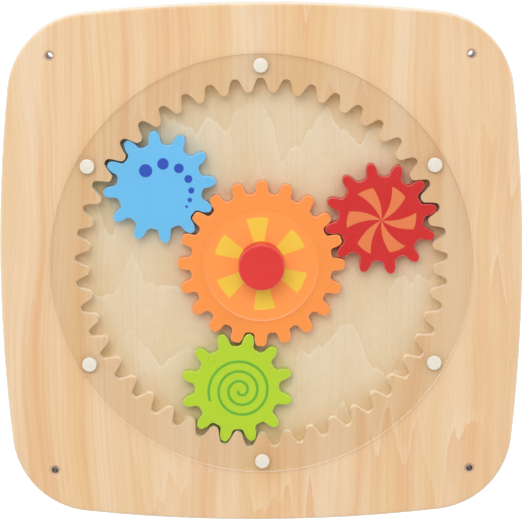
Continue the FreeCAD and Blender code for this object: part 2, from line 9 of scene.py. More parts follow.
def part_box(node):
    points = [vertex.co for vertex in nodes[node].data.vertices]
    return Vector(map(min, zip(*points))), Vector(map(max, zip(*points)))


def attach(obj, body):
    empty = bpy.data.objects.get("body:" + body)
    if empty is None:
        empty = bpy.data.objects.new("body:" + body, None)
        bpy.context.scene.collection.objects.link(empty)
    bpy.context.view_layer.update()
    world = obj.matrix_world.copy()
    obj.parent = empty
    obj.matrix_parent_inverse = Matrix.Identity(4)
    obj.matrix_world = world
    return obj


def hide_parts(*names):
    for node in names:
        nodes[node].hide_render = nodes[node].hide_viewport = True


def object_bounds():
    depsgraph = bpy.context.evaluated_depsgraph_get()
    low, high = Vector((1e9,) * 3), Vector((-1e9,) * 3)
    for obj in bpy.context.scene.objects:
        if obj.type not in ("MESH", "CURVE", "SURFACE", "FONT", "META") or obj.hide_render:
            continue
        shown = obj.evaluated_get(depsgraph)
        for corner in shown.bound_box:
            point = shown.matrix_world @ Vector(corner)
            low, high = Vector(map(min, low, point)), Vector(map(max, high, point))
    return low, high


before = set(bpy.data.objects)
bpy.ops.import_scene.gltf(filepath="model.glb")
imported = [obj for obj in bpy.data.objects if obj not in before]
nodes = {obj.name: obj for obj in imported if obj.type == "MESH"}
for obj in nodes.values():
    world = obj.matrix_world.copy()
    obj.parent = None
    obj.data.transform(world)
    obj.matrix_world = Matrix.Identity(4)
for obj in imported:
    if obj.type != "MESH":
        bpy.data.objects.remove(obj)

# Looks of a wall gear panel.  The CAD nodes stay as the board, the knob and the small parts, and get
# their finishes here.  The script makes anew the four gears, with their teeth eased from the CAD's
# involutes, the clear cover, the board screws and the spindle bolt, and it lays the prints on the gears.
# The front faces -Y, +Z is up, and a depth is a distance from the wall towards -Y.

cad_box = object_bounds()
scene = bpy.context.scene
MM = 0.001
DEGREE = math.radians(1.0)


def depth_of(node):
    """How far out from the wall a node's back and front are."""
    low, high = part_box(node)
    return -high.y, -low.y


def centre_of(node):
    """The middle of a node on the board's face, as a complex number."""
    low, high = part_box(node)
    return complex(low.x + high.x, low.z + high.z) / 2


def at_depth(spot, depth):
    """The point of space over a spot of the board's face."""
    return Vector((spot.real, -depth, spot.imag))


# ------------------------------------------------------------------------------- node graphs

class Graph:
    """A node tree being drawn: every call adds a node and gives back what comes out of it."""

    def __init__(self, tree):
        self.tree = tree

    def add(self, kind, inputs=None, **settings):
        node = self.tree.nodes.new(kind)
        for name, value in settings.items():
            setattr(node, name, value)
        for key, value in (inputs or {}).items():
            self.feed(node.inputs[key], value)
        return node

    def feed(self, socket, value):
        if isinstance(value, bpy.types.NodeSocket):
            self.tree.links.new(value, socket)
        else:
            socket.default_value = value

    def math(self, operation, *values):
        return self.add("ShaderNodeMath", dict(enumerate(values)), operation=operation).outputs[0]

    def scaled(self, vector, factors):
        return self.add("ShaderNodeVectorMath", {0: vector, 1: factors}, operation="MULTIPLY").outputs[0]

    def apart(self, vector):
        return tuple(self.add("ShaderNodeSeparateXYZ", {0: vector}).outputs)

    def together(self, x, y, z):
        return self.add("ShaderNodeCombineXYZ", {0: x, 1: y, 2: z}).outputs[0]

    def spread(self, value, low, high, start=0.0, end=1.0):
        """The value's range low..high stretched over start..end, held at both ends."""
        inputs = {"Value": value, "From Min": low, "From Max": high, "To Min": start, "To Max": end}
        return self.add("ShaderNodeMapRange", inputs).outputs[0]


class Finish(Graph):
    """A material being mixed; lengths in it are millimetres."""

    def __init__(self, name):
        self.material = bpy.data.materials.new(name)
        self.material.use_nodes = True
        super().__init__(self.material.node_tree)
        self.tree.nodes.clear()
        self.out = self.add("ShaderNodeOutputMaterial")
        place = self.add("ShaderNodeTexCoord").outputs["Object"]
        self.place = self.scaled(place, (1 / MM, 1 / MM, 1 / MM))
        self.across, inwards, self.height = self.apart(self.place)
        self.depth = self.math("MULTIPLY", inwards, -1.0)

    def noise(self, lengths, detail=2.0, roughness=0.5, seed=0.0, place=None):
        """Cloudy noise whose features are about as long as the three lengths."""
        vector = self.scaled(place or self.place, tuple(1 / length for length in lengths))
        inputs = {"Vector": vector, "W": seed, "Scale": 1.0, "Detail": detail, "Roughness": roughness}
        return self.add("ShaderNodeTexNoise", inputs, noise_dimensions="4D").outputs[0]

    def blend(self, amount, first, second):
        return self.add("ShaderNodeMix", {0: amount, 6: first, 7: second}, data_type="RGBA").outputs[2]

    def tint(self, amount, colour, second):
        """Multiply a colour by a second one, as strongly as the amount says."""
        inputs = {0: amount, 6: colour, 7: second}
        return self.add("ShaderNodeMix", inputs, data_type="RGBA", blend_type="MULTIPLY").outputs[2]

    def bump(self, height, rise, under=None):
        """A relief of so many metres."""
        inputs = {"Height": height, "Distance": rise, "Strength": 1.0}
        if under is not None:
            inputs["Normal"] = under
        return self.add("ShaderNodeBump", inputs).outputs[0]

    def surface(self, colour, roughness, normal=None, **fixed):
        """Close the mix with a Principled shader; the fixed values go on its own sockets."""
        inputs = {"Base Color": colour, "Roughness": roughness}
        if normal is not None:
            inputs["Normal"] = normal
        inputs.update({name.replace("_", " "): value for name, value in fixed.items()})
        shader = self.add("ShaderNodeBsdfPrincipled", inputs)
        self.feed(self.out.inputs["Surface"], shader.outputs[0])
        return self.material


def opaque(red, green, blue):
    return (red, green, blue, 1.0)


# -------------------------------------------------------------------------------- wood finishes

HONEY = opaque(0.690, 0.465, 0.250)
CREAM = opaque(0.715, 0.545, 0.370)
ROSY = opaque(0.660, 0.395, 0.205)
FLAME_LIGHT = opaque(0.745, 0.600, 0.440)
PALE = opaque(0.735, 0.615, 0.445)
PALE_DEEP = opaque(0.720, 0.580, 0.385)
PALE_LIGHT = opaque(0.765, 0.675, 0.530)
PALE_OUTLINE = opaque(0.800, 0.735, 0.600)
EDGE_LIGHT = opaque(0.660, 0.615, 0.540)
EDGE_DARK = opaque(0.545, 0.470, 0.370)
GLUE = opaque(0.380, 0.295, 0.210)
# painted light: the window's cut walls are given this lighter colour
LIT_WINDOW_WALL = opaque(0.970, 0.880, 0.740)
# painted shade in the wall-screw holes: a darker countersink and a nearly black bore
SINK_SHADE = opaque(0.560, 0.400, 0.275)
BORE_SHADE = opaque(0.290, 0.150, 0.080)
# what the wood's finer marks are multiplied by, and the painted shade on the floor near the window's wall
LINE_TINT = opaque(0.92, 0.80, 0.66)
PORE_TINT = opaque(0.88, 0.80, 0.70)
SHADE_TINT = opaque(0.92, 0.86, 0.77)
RING_TINT = opaque(0.90, 0.83, 0.72)
WALL_SHADE_TINT = opaque(0.93, 0.84, 0.71)
END_GRAIN_TINT = opaque(0.86, 0.76, 0.62)
VENEER_THICKNESS = 0.6
# the figure hardly changes over this length, which is far more than a board's depth
THROUGH = 300.0
# the four wall-screw holes stand this far out from the middle both ways
WALL_HOLE = 160.0
SINK_RADIUS = 4.6
BORE_RADIUS = 2.35
# the window's teeth are cut inside this radius
INNER_CUTS = 160.0


def growth(finish, width, length, reach, rags, seed, place):
    """Growth rings cut flat: a count that goes up by one at each ring's ragged crest."""
    peaks = finish.noise((width, THROUGH, length * 3.0), 1.5, 0.45, seed, place)
    ragged = finish.noise((width * 0.18, THROUGH, length * 0.8), 2.5, 0.6, seed + 7.0, place)
    level = finish.math("MULTIPLY_ADD", peaks, reach, finish.math("MULTIPLY", ragged, rags))
    return finish.math("MULTIPLY_ADD", finish.height, 1 / length, level)


def ring_lines(finish, rings, count):
    """Thin lines that follow the crests, so many to a ring."""
    part = finish.math("FRACT", finish.math("MULTIPLY", rings, count))
    return finish.spread(finish.math("ABSOLUTE", finish.math("SUBTRACT", part, 0.5)), 0.0, 0.09, 1.0, 0.0)


def from_middle(finish):
    """How far out from the knob's axis a place is."""
    flat = finish.together(finish.across, 0.0, finish.height)
    return finish.add("ShaderNodeVectorMath", {0: flat}, operation="LENGTH").outputs["Value"]


def wavering(finish, seed):
    """The place on a board whose fibres wander a little from side to side."""
    sway = finish.noise((80.0, THROUGH, 160.0), 1.0, 0.5, seed)
    shift = finish.math("MULTIPLY_ADD", sway, 30.0, -15.0)
    sideways = finish.together(shift, 0.0, 0.0)
    return finish.add("ShaderNodeVectorMath", {0: finish.place, 1: sideways}).outputs[0]


def grain(finish, colour, seed, lines, pores, place):
    """Draw the growth lines and the fibres over a colour; gives it back with the fibres' relief."""
    streaks = finish.noise((2.4, THROUGH, 700.0), 2.0, 0.5, seed, place)
    drawn = finish.math("MULTIPLY", finish.spread(streaks, 0.42, 0.66), lines)
    colour = finish.tint(drawn, colour, LINE_TINT)
    fibres = finish.noise((0.6, 40.0, 9.0), 2.0, 0.6, seed + 5.0, place)
    colour = finish.tint(finish.spread(fibres, 0.46, 0.78, 0.0, pores), colour, PORE_TINT)
    return colour, fibres


def honey_veneer(finish, seed):
    """Honey-coloured face veneer: long soft bands, and tall ragged flames away from the left edge."""
    wander = wavering(finish, seed + 17.0)
    bands = finish.noise((40.0, 400.0, 620.0), 3.5, 0.55, seed, wander)
    colour = finish.blend(finish.spread(bands, 0.36, 0.62), CREAM, HONEY)
    rosy = finish.noise((22.0, 400.0, 360.0), 2.5, 0.55, seed + 19.0, wander)
    colour = finish.blend(finish.spread(rosy, 0.50, 0.70, 0.0, 0.85), colour, ROSY)
    rings = growth(finish, 17.0, 130.0, 2.3, 0.22, seed + 3.0, wander)
    crest = finish.math("FRACT", rings)
    patch = finish.noise((55.0, THROUGH, 130.0), 1.0, 0.5, seed + 8.0)
    patchy = finish.spread(patch, 0.44, 0.55)
    where = finish.math("MULTIPLY", patchy, finish.spread(finish.across, -120.0, -50.0))
    deep = finish.math("MULTIPLY", finish.spread(crest, 0.45, 1.0), where)
    colour = finish.blend(finish.math("MULTIPLY", deep, 0.55), colour, ROSY)
    light = finish.math("MULTIPLY", finish.spread(crest, 0.0, 0.16, 1.0, 0.0), where)
    colour = finish.blend(finish.math("MULTIPLY", light, 0.45), colour, FLAME_LIGHT)
    lines = finish.spread(finish.across, -150.0, -90.0, 0.60, 0.38)
    return grain(finish, colour, seed + 11.0, lines, 0.34, wander)


def pale_veneer(finish, seed):
    """Pale floor veneer: tongues with ragged crests, thin ring lines, and painted shade that darkens it
    towards the window's wall.
    """
    wander = wavering(finish, seed + 17.0)
    cloud = finish.noise((34.0, THROUGH, 260.0), 3.0, 0.55, seed, wander)
    colour = finish.blend(finish.spread(cloud, 0.38, 0.62), PALE, PALE_DEEP)
    rings = growth(finish, 27.0, 62.0, 2.3, 0.26, seed + 3.0, wander)
    crest = finish.math("FRACT", rings)
    faint = finish.spread(finish.noise((45.0, THROUGH, 60.0), 1.0, 0.5, seed + 8.0), 0.38, 0.54, 0.15, 1.0)
    tongue = finish.math("MULTIPLY", finish.spread(crest, 0.30, 1.0), faint)
    colour = finish.blend(finish.math("MULTIPLY", tongue, 0.65), colour, PALE_LIGHT)
    outline = finish.math("MULTIPLY", finish.spread(crest, 0.955, 0.985), faint)
    colour = finish.blend(finish.math("MULTIPLY", outline, 0.45), colour, PALE_OUTLINE)
    shade = finish.math("MULTIPLY", finish.spread(crest, 0.0, 0.12, 1.0, 0.0), faint)
    colour = finish.tint(finish.math("MULTIPLY", shade, 0.4), colour, SHADE_TINT)
    thin = finish.math("MULTIPLY", ring_lines(finish, rings, 5.0), 0.28)
    colour = finish.tint(thin, colour, RING_TINT)
    # painted shade: the floor is darkened in a ring that grows towards the window's toothed wall, standing in
    # for the shade that wall casts
    wall_shade = finish.spread(from_middle(finish), 121.0, 142.0, 0.0, 0.9)
    colour = finish.tint(wall_shade, colour, WALL_SHADE_TINT)
    return grain(finish, colour, seed + 11.0, 0.25, 0.32, wander)


def plywood(name, node, plies, veneer, seed):
    """Veneer on both faces of a board and the plies on its cut edges; the window's cut walls get a painted
    lighter colour in place of the plies, and the wall-screw holes get painted shade.
    """
    finish = Finish(name)
    colour, fibres = veneer(finish, seed)
    back, front = (depth / MM for depth in depth_of(node))
    thickness = front - back
    above = finish.math("SUBTRACT", finish.depth, back)
    middle = finish.math("ABSOLUTE", finish.math("SUBTRACT", above, thickness / 2))
    inside = thickness / 2 - VENEER_THICKNESS
    cut = finish.spread(middle, inside, inside + 0.1, 1.0, 0.0)
    ply = finish.math("MULTIPLY", above, plies / thickness)
    across_ply = finish.math("ABSOLUTE", finish.math("SUBTRACT", finish.math("FRACT", ply), 0.5))
    cross = finish.math("GREATER_THAN", finish.math("FRACT", finish.math("MULTIPLY", ply, 0.5)), 0.5)
    end_grain = finish.noise((0.7, 0.35, 0.7), 3.0, 0.6, seed + 23.0)
    edge = finish.blend(finish.math("MULTIPLY", cross, 0.75), EDGE_LIGHT, EDGE_DARK)
    edge = finish.tint(finish.spread(end_grain, 0.45, 0.75, 0.0, 0.35), edge, END_GRAIN_TINT)
    edge = finish.blend(finish.spread(across_ply, 0.45, 0.49, 0.0, 0.35), edge, GLUE)
    across = finish.math("ABSOLUTE", finish.across)
    corner = finish.together(across, 0.0, finish.math("ABSOLUTE", finish.height))
    hole = (WALL_HOLE, 0.0, WALL_HOLE)
    off = finish.add("ShaderNodeVectorMath", {0: corner, 1: hole}, operation="DISTANCE").outputs["Value"]
    # painted light: the window's cut walls are much lighter than the outer edges' plies, standing in for the
    # light that falls on them
    window_wall = finish.spread(from_middle(finish), INNER_CUTS, INNER_CUTS + 1.0, 1.0, 0.0)
    edge = finish.blend(window_wall, edge, LIT_WINDOW_WALL)
    # painted shade: the countersinks are painted darker and the bores nearly black, for the shade inside the
    # holes
    edge = finish.blend(finish.spread(off, SINK_RADIUS, SINK_RADIUS + 0.4, 1.0, 0.0), edge, SINK_SHADE)
    edge = finish.blend(finish.spread(off, BORE_RADIUS, BORE_RADIUS + 0.3, 1.0, 0.0), edge, BORE_SHADE)
    colour = finish.blend(cut, colour, edge)
    smudges = finish.noise((45.0, 45.0, 45.0), 3.0, 0.5, seed + 29.0)
    sheen = finish.math("MULTIPLY_ADD", cut, -0.14, finish.spread(smudges, 0.3, 0.7, 0.42, 0.54))
    relief = finish.bump(finish.blend(cut, fibres, end_grain), 0.00002)
    material = finish.surface(colour, sheen, relief, Specular_IOR_Level=0.35)
    dress(node, material)


def bare_wood(name, colour, dark, seed):
    """Turned hardwood with its pores, unvarnished."""
    finish = Finish(name)
    pores = finish.noise((0.35, 6.0, 0.35), 3.0, 0.6, seed)
    mixed = finish.blend(finish.spread(pores, 0.4, 0.7), colour, dark)
    return finish.surface(mixed, finish.spread(pores, 0.3, 0.7, 0.55, 0.7), finish.bump(pores, 0.00003))


# ------------------------------------------------------------------------------ lacquer finishes

ORANGE = opaque(0.950, 0.322, 0.080)
YELLOW = opaque(0.815, 0.545, 0.064)
RED = opaque(0.625, 0.032, 0.032)
KNOB_RED = opaque(0.630, 0.030, 0.027)
SALMON = opaque(0.780, 0.222, 0.084)
SKY = opaque(0.155, 0.520, 0.880)
INK_BLUE = opaque(0.032, 0.092, 0.505)
LIME = opaque(0.455, 0.665, 0.038)
LEAF = opaque(0.140, 0.450, 0.045)


def lacquer(name, colour, face, edge_round, seed, gloss=0.30, thinned_and_lit=0.20):
    """Sprayed satin lacquer over wood: faint fibres and orange peel, and a paler band on the rounded front
    edge, partly thinned lacquer and partly a painted highlight.
    """
    finish = Finish(name)
    cloud = finish.noise((35.0, 35.0, 35.0), 2.0, 0.5, seed)
    rich = finish.tint(finish.spread(cloud, 0.3, 0.7, 0.0, 1.0), colour, opaque(0.965, 0.955, 0.95))
    fibres = finish.noise((0.5, 30.0, 22.0), 2.0, 0.6, seed + 3.0)
    rich = finish.tint(finish.spread(fibres, 0.5, 0.8, 0.0, 0.5), rich, opaque(0.93, 0.92, 0.90))
    # painted highlight: the band over the rounded front edge is made paler, partly as thinned lacquer and
    # partly standing in for the light that edge catches
    thin = finish.spread(finish.depth, face / MM - edge_round, face / MM - edge_round * 0.35, 0.0, 1.0)
    level = finish.spread(finish.depth, face / MM - edge_round * 0.35, face / MM - 0.02, 1.0, 0.0)
    rim = finish.math("MULTIPLY", finish.math("MULTIPLY", thin, level), thinned_and_lit)
    rich = finish.blend(rim, rich, opaque(1.0, 0.93, 0.82))
    peel = finish.noise((1.1, 1.1, 1.1), 2.0, 0.5, seed + 5.0)
    relief = finish.bump(fibres, 0.000006, finish.bump(peel, 0.000012))
    rubbed = finish.noise((18.0, 18.0, 18.0), 3.0, 0.55, seed + 9.0)
    sheen = finish.spread(rubbed, 0.3, 0.7, gloss - 0.04, gloss + 0.06)
    return finish.surface(rich, sheen, relief, Specular_IOR_Level=0.45)


def print_ink(name, colour, seed, gloss=0.32):
    """Screen-printed ink: an even film with a fine mesh grain."""
    finish = Finish(name)
    mesh = finish.noise((0.6, 0.6, 0.6), 2.0, 0.5, seed)
    mixed = finish.tint(finish.spread(mesh, 0.4, 0.7, 0.0, 0.6), colour, opaque(0.95, 0.95, 0.94))
    sheen = finish.spread(mesh, 0.3, 0.7, gloss - 0.03, gloss + 0.05)
    return finish.surface(mixed, sheen, finish.bump(mesh, 0.000005), Specular_IOR_Level=0.45)


# --------------------------------------------------------------------------- plastics and metal

# how much of the light a clear face mirrors face on, and how steeply that rises towards its edge
FACE_ON_GLOSS = 0.0032
GLOSS_RISE = 5.0
CLEAR_TINT = opaque(0.979, 0.975, 0.968)
# painted shade: the cut edge's clear part is tinted dark, so the edge reads as a dark line
EDGE_SHADE_TINT = opaque(0.84, 0.79, 0.72)
ZINC_BRIGHT = opaque(0.66, 0.68, 0.70)
ZINC_DULL = opaque(0.48, 0.49, 0.50)


def clear_sheet(name):
    """Polished clear acrylic: a thin sheet that bends nothing, with faint rubbing marks in its gloss.

    The gloss is the same on a face's inner side as on its outer one.  A Fresnel node would mirror
    everything on the inner side past a slant, since light isn't bent here, and turn the sheet dark.
    """
    finish = Finish(name)
    rubbed = finish.noise((9.0, 9.0, 30.0), 4.0, 0.6, 2.0)
    haze = finish.spread(rubbed, 0.35, 0.75, 0.02, 0.10)
    gloss = finish.add("ShaderNodeBsdfGlossy", {"Color": opaque(1.0, 1.0, 1.0), "Roughness": haze}).outputs[0]
    through = finish.add("ShaderNodeBsdfTransparent", {0: CLEAR_TINT}).outputs[0]
    facing = finish.add("ShaderNodeLayerWeight", {"Blend": 0.5}).outputs["Facing"]
    rise = finish.math("POWER", facing, GLOSS_RISE)
    mirror = finish.math("MULTIPLY_ADD", rise, 1.0 - FACE_ON_GLOSS, FACE_ON_GLOSS)
    mixed = finish.add("ShaderNodeMixShader", {0: mirror, 1: through, 2: gloss}).outputs[0]
    finish.feed(finish.out.inputs["Surface"], mixed)
    return finish.material


def cut_edge(name):
    """The sheet's polished cut edge, with painted light: it glows by its own emission, is painted more opaque
    and brighter towards its lower half, and is mostly clear at the top, with a darkened tint that paints a
    shade line.
    """
    finish = Finish(name)
    milling = finish.noise((0.25, 3.0, 0.25), 2.0, 0.5, 6.0)
    colour = finish.blend(milling, opaque(0.97, 0.95, 0.92), opaque(0.88, 0.86, 0.82))
    # painted light: the frosted edge glows by its own emission
    inputs = {"Base Color": colour, "Roughness": finish.spread(milling, 0.3, 0.7, 0.25, 0.4),
              "Emission Color": opaque(1.0, 0.94, 0.86), "Emission Strength": 0.40}
    frosted_glowing = finish.add("ShaderNodeBsdfPrincipled", inputs).outputs[0]
    through = finish.add("ShaderNodeBsdfTransparent", {0: EDGE_SHADE_TINT}).outputs[0]
    # painted light: the edge is more opaque and so brighter low down, and mostly clear at the top
    lower_glow_share = finish.spread(finish.height, -90.0, 30.0, 0.36, 0.03)
    mixed = finish.add("ShaderNodeMixShader", {0: lower_glow_share, 1: through, 2: frosted_glowing}).outputs[0]
    finish.feed(finish.out.inputs["Surface"], mixed)
    return finish.material


def moulded(name, colour, shade, seed, gloss):
    """Injection-moulded plastic with a fine mould texture."""
    finish = Finish(name)
    speck = finish.noise((0.5, 0.5, 0.5), 2.0, 0.5, seed)
    cloud = finish.noise((4.0, 4.0, 4.0), 2.0, 0.5, seed + 3.0)
    mixed = finish.blend(finish.spread(cloud, 0.35, 0.7), colour, shade)
    sheen = finish.spread(speck, 0.3, 0.7, gloss - 0.04, gloss + 0.06)
    return finish.surface(mixed, sheen, finish.bump(speck, 0.000008), Specular_IOR_Level=0.5)


def zinc(name, seed):
    """Bright zinc plating over drawn steel, with dull patches and fine drawing lines."""
    finish = Finish(name)
    lines = finish.noise((0.15, 3.0, 0.15), 2.0, 0.5, seed)
    patches = finish.noise((2.5, 2.5, 2.5), 3.0, 0.6, seed + 3.0)
    mixed = finish.blend(finish.spread(patches, 0.35, 0.7), ZINC_BRIGHT, ZINC_DULL)
    sheen = finish.spread(patches, 0.3, 0.7, 0.24, 0.42)
    return finish.surface(mixed, sheen, finish.bump(lines, 0.00001), Metallic=1.0)


# ------------------------------------------------------------------- finishes on the CAD nodes

def dress(node, material):
    """Give every slot of a CAD node one finish."""
    data = nodes[node].data
    if not data.materials:
        data.materials.append(material)
    for slot in range(len(data.materials)):
        data.materials[slot] = material


EDGE_ROUND = 0.8
KNOB_ROUND = 1.2
gear_back, gear_face = depth_of("drive_gear")

plywood("front_wood", "front_panel", 9, honey_veneer, 77.0)
plywood("rear_wood", "rear_frame", 9, honey_veneer, 31.0)
plywood("floor_wood", "floor_panel", 5, pale_veneer, 211.0)
knob_face = depth_of("turning_knob")[1]
knob_paint = lacquer("knob_lacquer", KNOB_RED, knob_face, KNOB_ROUND, 43.0, gloss=0.42, thinned_and_lit=0.05)
dress("turning_knob", knob_paint)

cap_plastic = moulded("cap_plastic", opaque(0.700, 0.655, 0.565), opaque(0.675, 0.630, 0.530), 5.0, 0.30)
nylon = moulded("white_nylon", opaque(0.85, 0.85, 0.82), opaque(0.78, 0.78, 0.74), 15.0, 0.45)
steel = zinc("zinc_steel", 7.0)
dowel = bare_wood("dowel_wood", opaque(0.80, 0.62, 0.42), opaque(0.58, 0.40, 0.24), 19.0)
for node in nodes:
    if node.startswith(("cover_cap", "cap_base")):
        dress(node, cap_plastic)
    elif node.startswith(("cover_screw", "board_screw", "spindle", "rear_washer", "front_washer", "lock")):
        dress(node, steel)
    elif node.endswith("slip_washer") or node == "thrust_washer":
        dress(node, nylon)
    elif node.startswith("knob_dowel"):
        dress(node, dowel)


# ----------------------------------------------------------------------------- geometry layouts

class Layout(Graph):
    """A Geometry Nodes tree with named inputs, used once and then turned into a plain mesh."""

    def __init__(self, name, material, **sizes):
        super().__init__(bpy.data.node_groups.new(name, "GeometryNodeTree"))
        self.material = material
        self.sizes = sizes
        face = self.tree.interface
        face.new_socket(name="Geometry", in_out="INPUT", socket_type="NodeSocketGeometry")
        face.new_socket(name="Geometry", in_out="OUTPUT", socket_type="NodeSocketGeometry")
        for label, value in sizes.items():
            kind = "NodeSocketInt" if isinstance(value, int) else "NodeSocketFloat"
            face.new_socket(name=label, in_out="INPUT", socket_type=kind)
        self.given = self.add("NodeGroupInput").outputs
        self.result = self.add("NodeGroupOutput")

    def index(self):
        return self.add("GeometryNodeInputIndex").outputs[0]

    def moved(self, geometry, position):
        inputs = {"Geometry": geometry, "Position": position}
        return self.add("GeometryNodeSetPosition", inputs).outputs[0]

    def polar(self, radius, angle):
        """A point of the board's face from its radius and its angle in radians."""
        return self.together(self.math("MULTIPLY", radius, self.math("COSINE", angle)), 0.0,
                             self.math("MULTIPLY", radius, self.math("SINE", angle)))

    def thickened(self, flat, film):
        """A flat shape facing the front made into a closed film of this thickness."""
        outwards = self.together(0.0, -1.0, 0.0)
        raised = self.add("GeometryNodeExtrudeMesh", {"Mesh": flat, "Offset": outwards,
                                                      "Offset Scale": film, "Individual": False}).outputs[0]
        back = self.add("GeometryNodeFlipFaces", {"Mesh": flat}).outputs[0]
        joined = self.add("GeometryNodeJoinGeometry")
        for part in (raised, back):
            self.tree.links.new(part, joined.inputs[0])
        inputs = {"Geometry": joined.outputs[0], "Distance": 1e-6}
        return self.add("GeometryNodeMergeByDistance", inputs).outputs[0]

    def points(self, count):
        return self.add("GeometryNodePoints", {"Count": count}).outputs[0]

    def placed(self, points, shape, rotation=(0.0, 0.0, 0.0), scale=(1.0, 1.0, 1.0)):
        inputs = {"Points": points, "Instance": shape, "Rotation": rotation, "Scale": scale}
        return self.add("GeometryNodeInstanceOnPoints", inputs).outputs[0]

    def round_the_axis(self, count, shape):
        """Copies of a shape, evenly turned about the depth direction."""
        turn = self.math("MULTIPLY", self.index(), self.math("DIVIDE", -2 * math.pi, count))
        return self.placed(self.points(count), shape, self.together(0.0, turn, 0.0))

    def close(self, geometry):
        real = self.add("GeometryNodeRealizeInstances", {"Geometry": geometry}).outputs[0]
        inputs = {"Geometry": real, "Material": self.material}
        painted = self.add("GeometryNodeSetMaterial", inputs).outputs[0]
        self.tree.links.new(painted, self.result.inputs[0])

    def make(self, name, start=None):
        """Run the tree, on a start mesh where it has one, and give back one plain piece."""
        piece = new_piece(name, start or bpy.data.meshes.new(name))
        modifier = piece.modifiers.new(name, "NODES")
        modifier.node_group = self.tree
        for item in self.tree.interface.items_tree:
            if item.in_out == "INPUT" and item.name in self.sizes:
                modifier[item.identifier] = self.sizes[item.name]
        bpy.context.view_layer.update()
        evaluated = piece.evaluated_get(bpy.context.evaluated_depsgraph_get())
        plain = bpy.data.meshes.new_from_object(evaluated)
        piece.modifiers.clear()
        piece.data = plain
        plain.name = name
        plain.materials.clear()
        plain.materials.append(self.material)
        return piece


def new_piece(name, mesh, *materials):
    """A piece of the object from a mesh."""
    for material in materials:
        mesh.materials.append(material)
    piece = bpy.data.objects.new(name, mesh)
    scene.collection.objects.link(piece)
    return piece


SHARP = 35 * DEGREE
WELD = 1e-7


def close_up(body, mesh):
    """Merge what touches, turn the faces outwards, and shade flat faces and sharp edges as such."""
    bmesh.ops.remove_doubles(body, verts=body.verts, dist=WELD)
    bmesh.ops.recalc_face_normals(body, faces=body.faces)
    for face in body.faces:
        face.smooth = abs(face.normal.y) < 0.9999
    for edge in body.edges:
        edge.smooth = len(edge.link_faces) == 2 and edge.calc_face_angle() < SHARP
    body.to_mesh(mesh)
    body.free()


def to_place(piece, spot, depth, turn=0.0):
    """Move a mesh drawn round the axis to its spot on the board, at a depth, and finish its faces."""
    piece.data.transform(Matrix.Rotation(-turn, 4, "Y"))
    piece.data.transform(Matrix.Translation(at_depth(spot, depth)))
    body = bmesh.new()
    body.from_mesh(piece.data)
    close_up(body, piece.data)
    return piece


def through_rows(rows):
    """A skin through rows of points, each row joined to the next."""
    body = bmesh.new()
    grid = [[body.verts.new(point) for point in row] for row in rows]
    for low, high in zip(grid, grid[1:]):
        for k in range(len(low) - 1):
            body.faces.new((low[k], low[k + 1], high[k + 1], high[k]))
    return body


# ------------------------------------------------------------------------------------ the gears

MODULE = 6.0 * MM
PRESSURE = 20 * DEGREE
ROUND_STEPS = 5
SLEEVE_HOLE = 5.05 * MM
POCKET_RADIUS = 12.3 * MM
POCKET_DEPTH = 1.0 * MM
ROUND_POINTS = 8
FLANK_POINTS = 8
LAND_POINTS = 2
# a corner this near a gear's reach is on a tooth's tip
TIP_BAND = 0.02 * MM


